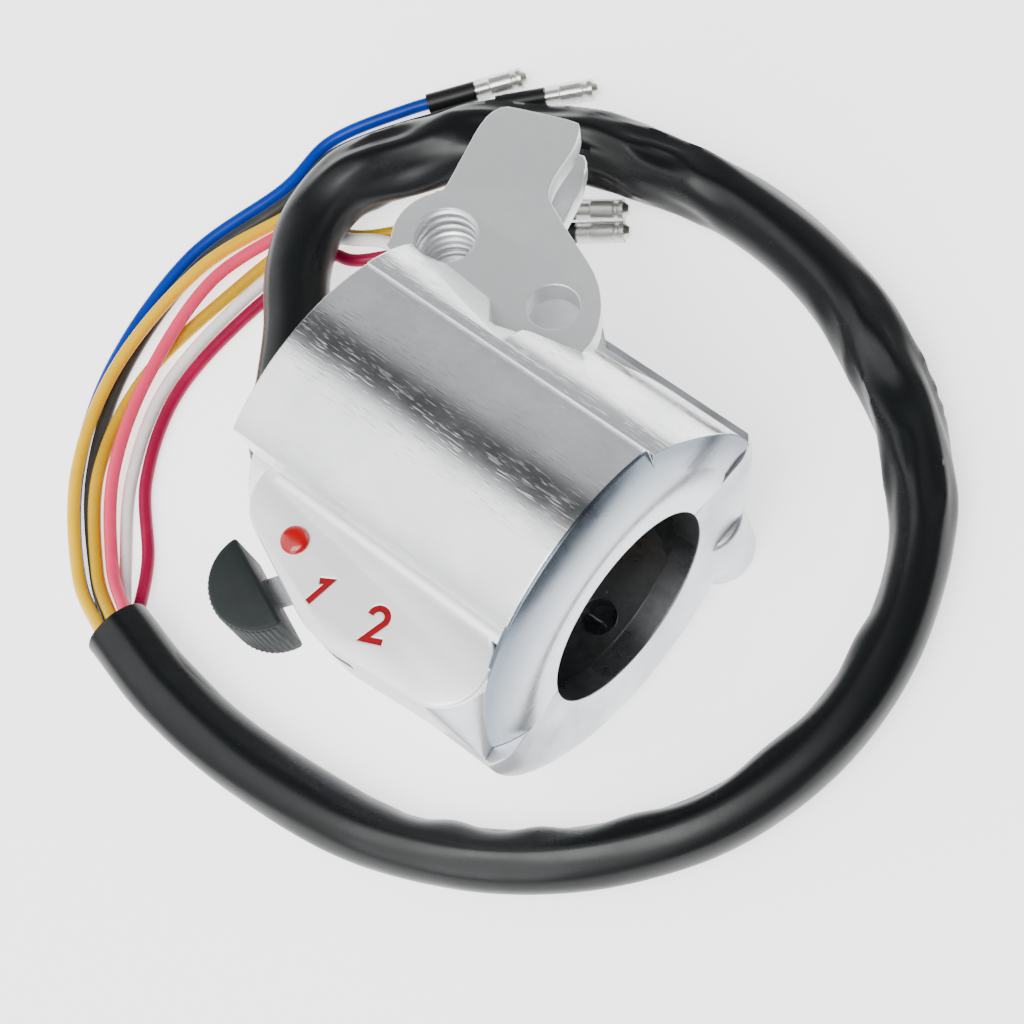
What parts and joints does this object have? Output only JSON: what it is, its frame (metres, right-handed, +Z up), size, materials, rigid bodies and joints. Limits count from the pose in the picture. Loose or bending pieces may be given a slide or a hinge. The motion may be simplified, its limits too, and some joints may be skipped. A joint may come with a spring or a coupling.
{
  "type": "handlebar switch cluster",
  "caption": "Two-part aluminium handlebar clamp casing with a lever bracket, a thumb switch on a marked panel and a sleeved wiring harness.",
  "frame": {"origin": "middle of the handlebar bore, on its axis", "axes": "+X outboard along the handlebar, +Y forward, +Z up, square to the joint between the casings"},
  "size_m": [0.1011, 0.0903, 0.0407],
  "materials": {
    "polished_casting": "polished die casting with fine scratches, satin on the bracket",
    "cast_aluminium": "satin die casting",
    "plated_screws": "zinc plated",
    "spring_steel": "plain",
    "steel_pin": "plain",
    "phenolic_board": "phenolic sheet",
    "contact_brass": "plain",
    "tinned_brass": "tinned brass",
    "black_rubber": "matte",
    "lead_insulation": "soft insulation",
    "red_enamel": "glossy raised dot",
    "dark_red_paint": "paint in the engraved marks",
    "black_moulding": "moulded",
    "knob_plastic": "ribbed black plastic",
    "black_sleeve": "soft black sleeving",
    "clear_cover": "clear soft cover",
    "wire_blue": "soft insulation",
    "wire_grey": "soft insulation",
    "wire_yellow": "soft insulation",
    "wire_amber": "soft insulation",
    "wire_pink": "soft insulation",
    "wire_white": "soft insulation",
    "wire_red": "soft insulation"
  },
  "bodies": {
    "casing": {"upper_casing": "polished_casting", "lower_casing": "cast_aluminium", "casing_screws": "plated_screws", "screw_washers": "spring_steel", "contact_board": "phenolic_board", "board_screws": "plated_screws", "fixed_contacts": "contact_brass", "solder_tabs": "contact_brass", "pivot_pin": "steel_pin", "cable_grommet": "black_rubber", "inner_leads": "lead_insulation", "position_dot": "red_enamel", "position_marks": "dark_red_paint", "harness_sleeve": "black_sleeve", "wire_blue": "wire_blue", "wire_grey": "wire_grey", "wire_yellow": "wire_yellow", "wire_amber": "wire_amber", "wire_pink": "wire_pink", "wire_white": "wire_white", "wire_red": "wire_red", "boot_blue": "black_sleeve", "boot_grey": "black_sleeve", "boot_yellow": "black_sleeve", "boot_amber": "black_sleeve", "boot_pink": "black_sleeve", "boot_white": "black_sleeve", "boot_red": "black_sleeve", "bullet_blue": "tinned_brass", "bullet_grey": "tinned_brass", "bullet_yellow": "tinned_brass", "bullet_amber": "tinned_brass", "bullet_pink": "tinned_brass", "bullet_white": "tinned_brass", "bullet_red": "tinned_brass", "cover_blue": "clear_cover", "cover_grey": "clear_cover", "cover_yellow": "clear_cover", "cover_amber": "clear_cover", "cover_pink": "clear_cover", "cover_white": "clear_cover", "cover_red": "clear_cover"},
    "thumb_switch": {"rotor_plate": "black_moulding", "lever_stem": "steel_pin", "stem_pin": "steel_pin", "thumb_knob": "knob_plastic", "moving_contact": "contact_brass", "detent_ball": "steel_pin", "detent_spring": "spring_steel"}
  },
  "joints": [
    {"name": "thumb_turn", "type": "hinge", "parent": "casing", "child": "thumb_switch", "pos_m": [0, -0.01, 0.0103], "axis": [0, 0, 1], "range_deg": [0, 40]}
  ]
}
